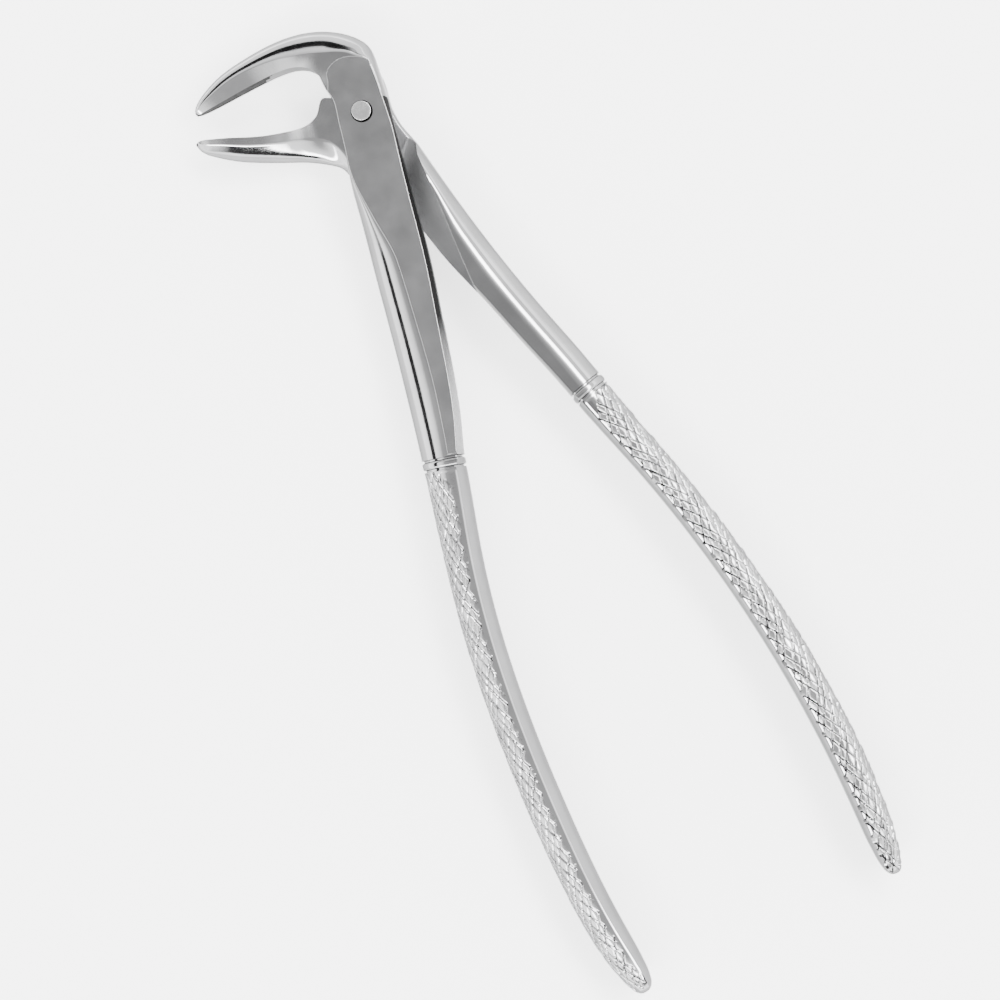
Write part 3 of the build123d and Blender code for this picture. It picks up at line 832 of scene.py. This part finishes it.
def back_half():
    stations = [beak_station(row, True, BACK_BEAK_DROP) for row in BACK_BEAK]
    stations[-1][5] = FLOOR
    stations += BACK_LEAF + [handle_station(row, False) for row in BACK_SHANK]
    ring_number = len(stations)
    stations += [handle_station(row, False) for row in (BACK_RING, *BACK_GRIP[:2])]
    path = along(stations)
    ring_at = path[ring_number]
    top, right = BACK_COUNTS[:2]
    recess_from = path[len(BACK_BEAK) + 3]
    recess_until = path[len(BACK_BEAK) + 7]
    areas = [(0.4, recess_from, 0, top, SATIN),
             (recess_from, recess_until, 0, top, RECESS),
             (0.4, 12.6, top, top + 2 * right, GRIPPING)]
    body, _, _ = shank("back_body", stations, ring_at, BACK_COUNTS, areas)
    # the recess's walls and its drawn-in foot get painted shade; its flat faces get the recess slot
    clear = prism("back_clear", BACK_CLEAR, BACK_TOP, CLEAR_TOP, SHADED_WALL, foot=RECESS_FOOT)
    for polygon in clear.data.polygons:
        if abs(polygon.normal.z) > 0.95:
            polygon.material_index = RECESS
    combine(body, clear, "DIFFERENCE")
    hole = [(0, -1), (BACK_HOLE_RADIUS, -1), (BACK_HOLE_RADIUS, 6), (0, 6)]
    combine(body, lathe("pin_hole", hole, ROUND_COUNT, POLISHED), "DIFFERENCE")
    grip_stations = [handle_station(row, False) for row in (BACK_RING, *BACK_GRIP)]
    for row, given in zip(grip_stations, (BACK_RING, *BACK_GRIP)):
        row[7:9] += min(WALL_INSET, WALL_INSET_SHARE * given[3])
        row[10] = ROUNDED_WALL
    handle = grip("back_grip", grip_stations, False, BACK_STYLE)
    join(body, [handle])
    shade(body, SHARP_ANGLE)
    body.name = "back_half_steel"
    return body


def hinge_pin():
    head, top, edge = 1.7, 10.35, 0.1
    profile = [(0, 0.2), (1.4, 0.2), (1.5, 0.3), (1.5, 9.05), (head, 9.05), (head, top - edge)]
    for angle in (15, 30, 45, 60, 75, 90):
        a = math.radians(angle)
        profile.append((head - edge * (1 - math.cos(a)), top - edge * (1 - math.sin(a)) - 0.03))
    profile += [(1.2, top - 0.012), (0.7, top - 0.003), (0, top)]
    pin = lathe("hinge_pin_steel", profile, ROUND_COUNT, PIN)
    shade(pin, SHARP_ANGLE)
    return pin


front = front_half()
back = back_half()
pin = hinge_pin()
for piece, body, node, slot in ((front, "front", "front_half", "forged_steel"),
                                (back, "back", "back_half", "forged_steel"),
                                (pin, "back", "hinge_pin", "pin_steel")):
    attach(piece, body)
    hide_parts(node)


# ---- camera ----
ROLL = math.radians(-26.22)                    # the forceps lies turned in the picture
TILT = math.radians(4.5)                       # seen a little from the right
DISTANCE = 0.45
AIM = Vector((-0.00854, -0.0712, 0.005))
LENS = 92.57


def make_camera():
    right = Vector((math.cos(ROLL), math.sin(ROLL), 0.0))
    up = Vector((-math.sin(ROLL), math.cos(ROLL), 0.0))
    back_axis = right * math.sin(TILT) + Vector((0, 0, 1)) * math.cos(TILT)
    side = right * math.cos(TILT) - Vector((0, 0, 1)) * math.sin(TILT)
    data = bpy.data.cameras.new("camera")
    data.lens = LENS
    data.sensor_width = 36.0
    camera = bpy.data.objects.new("camera", data)
    place = Matrix((side, up, back_axis)).transposed().to_4x4()
    place.translation = AIM + back_axis * DISTANCE
    camera.matrix_world = place
    bpy.context.scene.collection.objects.link(camera)
    bpy.context.scene.camera = camera


make_camera()


# ---- floor and light ----
def make_floor():
    half = 1.5
    low = -0.0001
    corners = [(-half, -half, low), (half, -half, low), (half, half, low), (-half, half, low)]
    mesh = bpy.data.meshes.new("floor")
    mesh.from_pydata(corners, [], [(0, 1, 2, 3)])
    floor = bpy.data.objects.new("floor", mesh)
    bpy.context.scene.collection.objects.link(floor)
    material = bpy.data.materials.new("floor")
    material.use_nodes = True
    shader = material.node_tree.nodes["Principled BSDF"]
    shader.inputs["Base Color"].default_value = (0.93, 0.93, 0.93, 1)
    shader.inputs["Roughness"].default_value = 0.9
    shader.inputs["Specular IOR Level"].default_value = 0.0
    shader.inputs["Emission Color"].default_value = (1, 1, 1, 1)
    shader.inputs["Emission Strength"].default_value = 2.2
    mesh.materials.append(material)


make_floor()


def make_world():
    """Soft pale surroundings: grey overhead, a dark seam lower down, two bright panels, a veil and a fill."""
    world = bpy.data.worlds.new("studio")
    world.use_nodes = True
    tree = world.node_tree
    background = tree.nodes["Background"]
    coords = tree.nodes.new("ShaderNodeTexCoord")
    split = tree.nodes.new("ShaderNodeSeparateXYZ")
    tree.links.new(coords.outputs["Generated"], split.inputs[0])

    def math_node(operation, first, second):
        node = tree.nodes.new("ShaderNodeMath")
        node.operation = operation
        for socket, value in zip(node.inputs, (first, second)):
            if isinstance(value, float):
                socket.default_value = value
            elif value is not None:
                tree.links.new(value, socket)
        return node.outputs[0]

    angle = math_node("ARCCOSINE", split.outputs["Z"], None)
    share = math_node("DIVIDE", angle, math.pi)
    sine = math_node("MAXIMUM", math_node("SINE", angle, None), 0.001)

    def layer(levels):
        node = tree.nodes.new("ShaderNodeValToRGB")
        while len(node.color_ramp.elements) < len(levels):
            node.color_ramp.elements.new(0.5)
        for element, (degrees, level) in zip(node.color_ramp.elements, levels):
            element.position = degrees / 180
            element.color = (level, level, level, 1)
        tree.links.new(share, node.inputs[0])
        return node.outputs["Color"]

    def side(degrees, from_cosine, to_cosine):
        """1 on the side of the picture that lies at this angle from its right, 0 elsewhere."""
        a = math.radians(degrees) + ROLL
        dot = tree.nodes.new("ShaderNodeVectorMath")
        dot.operation = "DOT_PRODUCT"
        tree.links.new(coords.outputs["Generated"], dot.inputs[0])
        dot.inputs[1].default_value = (math.cos(a), math.sin(a), 0.0)
        span = tree.nodes.new("ShaderNodeMapRange")
        span.interpolation_type = "SMOOTHSTEP"
        span.inputs["From Min"].default_value = from_cosine
        span.inputs["From Max"].default_value = to_cosine
        tree.links.new(math_node("DIVIDE", dot.outputs["Value"], sine), span.inputs["Value"])
        return span.outputs[0]

    right = side(35.0, 0.5, 0.8)
    upper = math_node("MULTIPLY", layer(PANEL), right)
    lower = math_node("MULTIPLY", layer(LOW_PANEL), side(-105.0, 0.75, 0.9))
    veil = math_node("MULTIPLY", layer(VEIL), right)
    fill = math_node("MULTIPLY", layer(FILL), side(-137.0, 0.85, 0.97))
    shade = math_node("SUBTRACT", 1.0, math_node("MULTIPLY", side(115.0, 0.4, 0.8), 0.38))
    base = math_node("ADD", math_node("MULTIPLY", layer(SKY), shade), math_node("ADD", veil, fill))
    total = math_node("ADD", base, math_node("ADD", upper, lower))
    tree.links.new(total, background.inputs["Color"])
    background.inputs["Strength"].default_value = SKY_STRENGTH
    bpy.context.scene.world = world


# angle from the zenith, level
SKY_STRENGTH = 24.0
SKY = ((0, 0.036), (22, 0.043), (31, 0.12), (40, 0.15), (50, 0.17), (53, 0.002), (67, 0.002), (70, 0.17),
       (90, 0.2))
PANEL = ((0, 0.0), (32, 0.0), (36, 0.8), (46, 0.8), (51, 0.0), (90, 0.0))
LOW_PANEL = ((0, 0.0), (40, 0.0), (44, 0.8), (51, 0.8), (53, 0.0), (90, 0.0))
FILL = ((0, 0.0), (49, 0.0), (54, 0.17), (66, 0.17), (71, 0.0), (90, 0.0))
VEIL = ((0, 0.0), (46, 0.0), (57, 0.09), (65, 0.09), (72, 0.0), (90, 0.0))
make_world()
